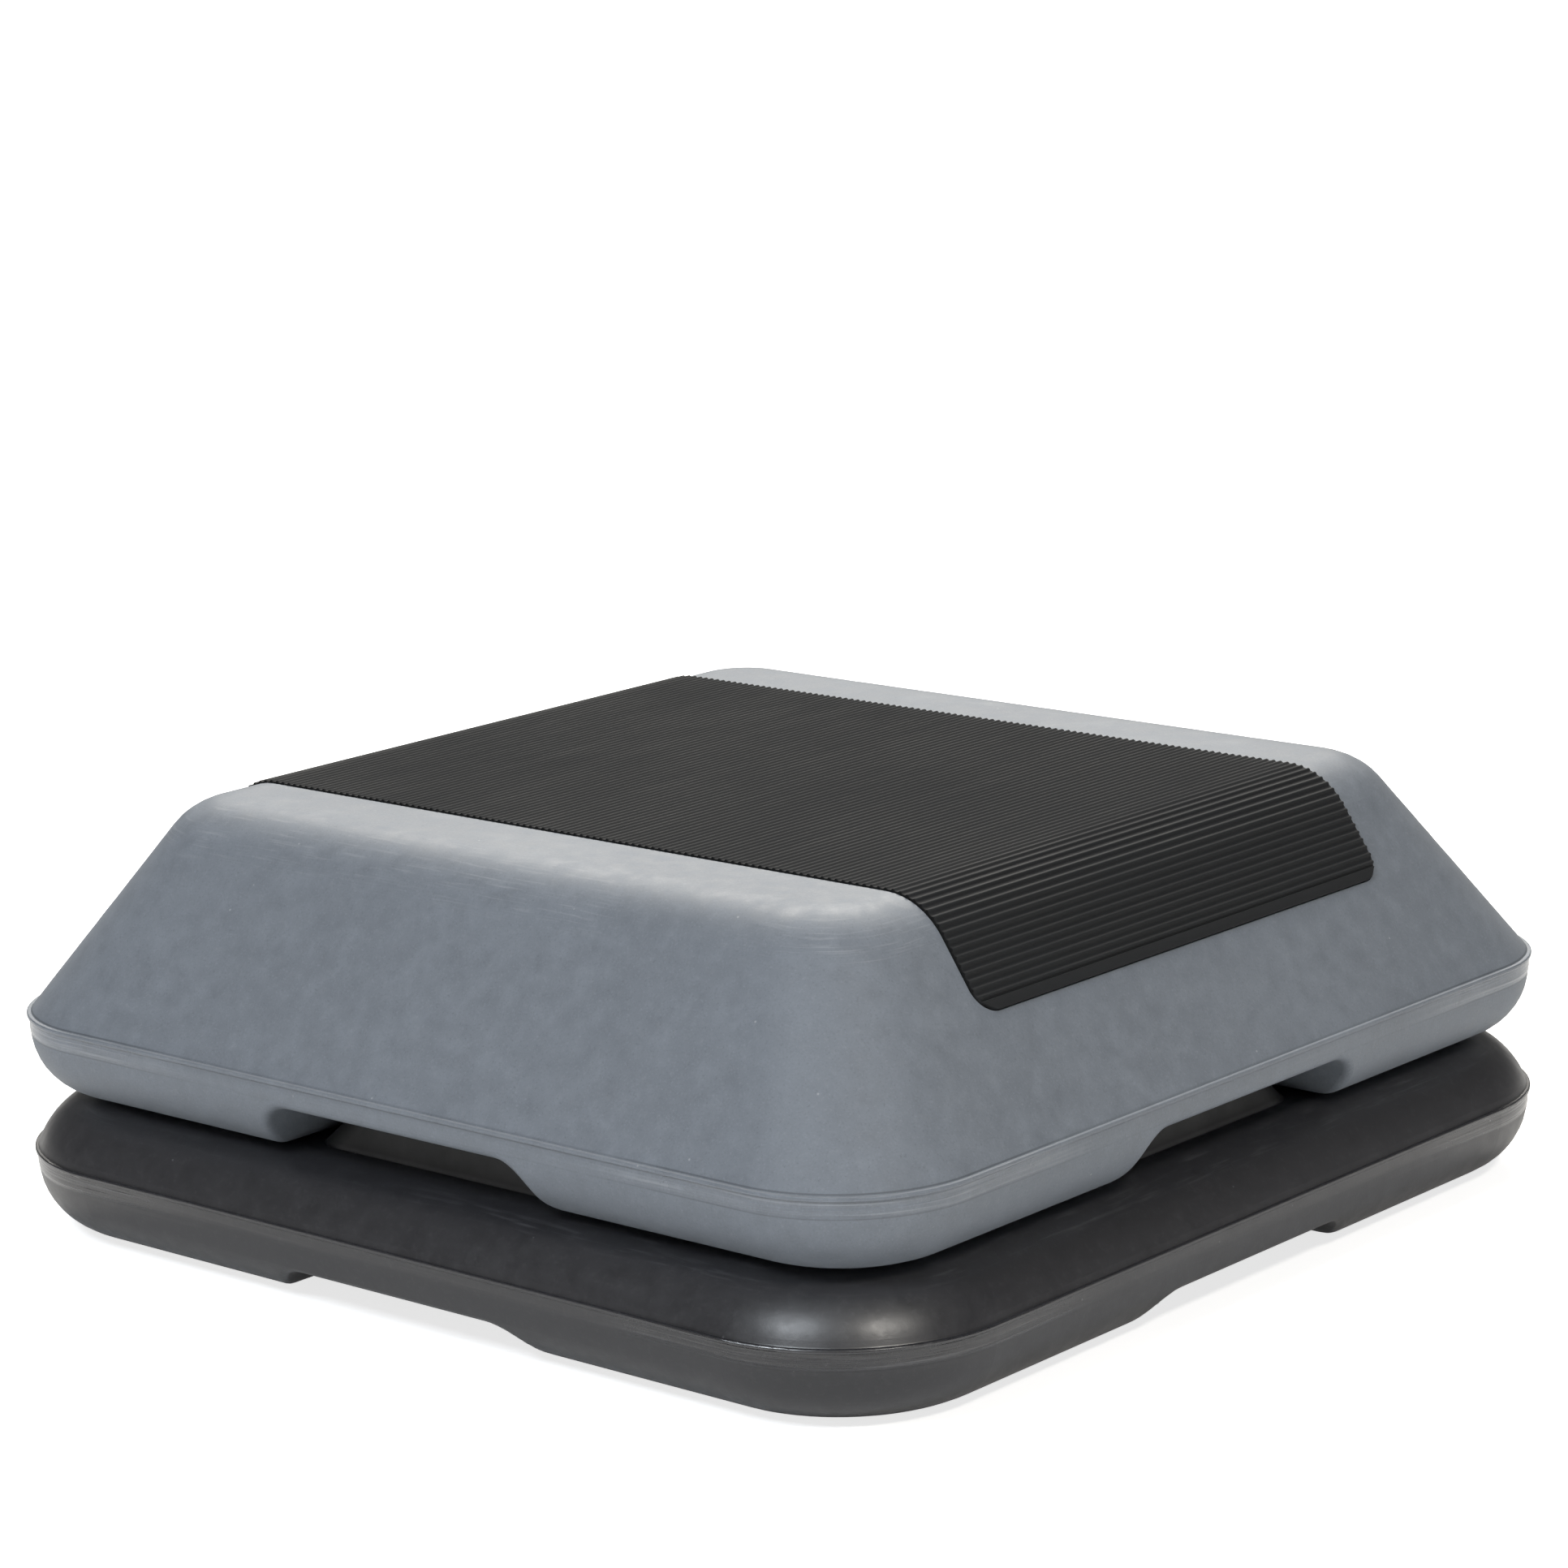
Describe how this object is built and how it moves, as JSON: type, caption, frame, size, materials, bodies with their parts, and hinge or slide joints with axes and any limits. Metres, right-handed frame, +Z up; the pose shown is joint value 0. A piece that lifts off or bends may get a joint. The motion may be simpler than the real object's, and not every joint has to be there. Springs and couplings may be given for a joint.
{
  "type": "aerobic step platform",
  "caption": "Square exercise step: a hollow grey platform with a ribbed rubber tread, resting on a hollow black riser block that raises it, both on rubber feet.",
  "frame": {"origin": "on the floor, under the middle of the square", "axes": "+Z up; the tread runs along X and turns down over the +X and -X flanks; -Y is the front"},
  "size_m": [0.413, 0.413, 0.1524],
  "materials": {
    "grey_shell": "satin moulded",
    "black_shell": "satin moulded",
    "mat": "matte ribbed",
    "foot": "matte"
  },
  "bodies": {
    "riser": {"riser_shell": "black_shell", "riser_foot_front_left": "foot", "riser_foot_front_right": "foot", "riser_foot_back_left": "foot", "riser_foot_back_right": "foot"},
    "platform": {"platform_shell": "grey_shell", "tread_mat": "mat", "platform_foot_front_left": "foot", "platform_foot_front_right": "foot", "platform_foot_back_left": "foot", "platform_foot_back_right": "foot"}
  },
  "joints": [
    {"name": "platform_lift", "type": "slide", "parent": "riser", "child": "platform", "axis": [0, 0, 1], "range_m": [0, 0.12]}
  ]
}
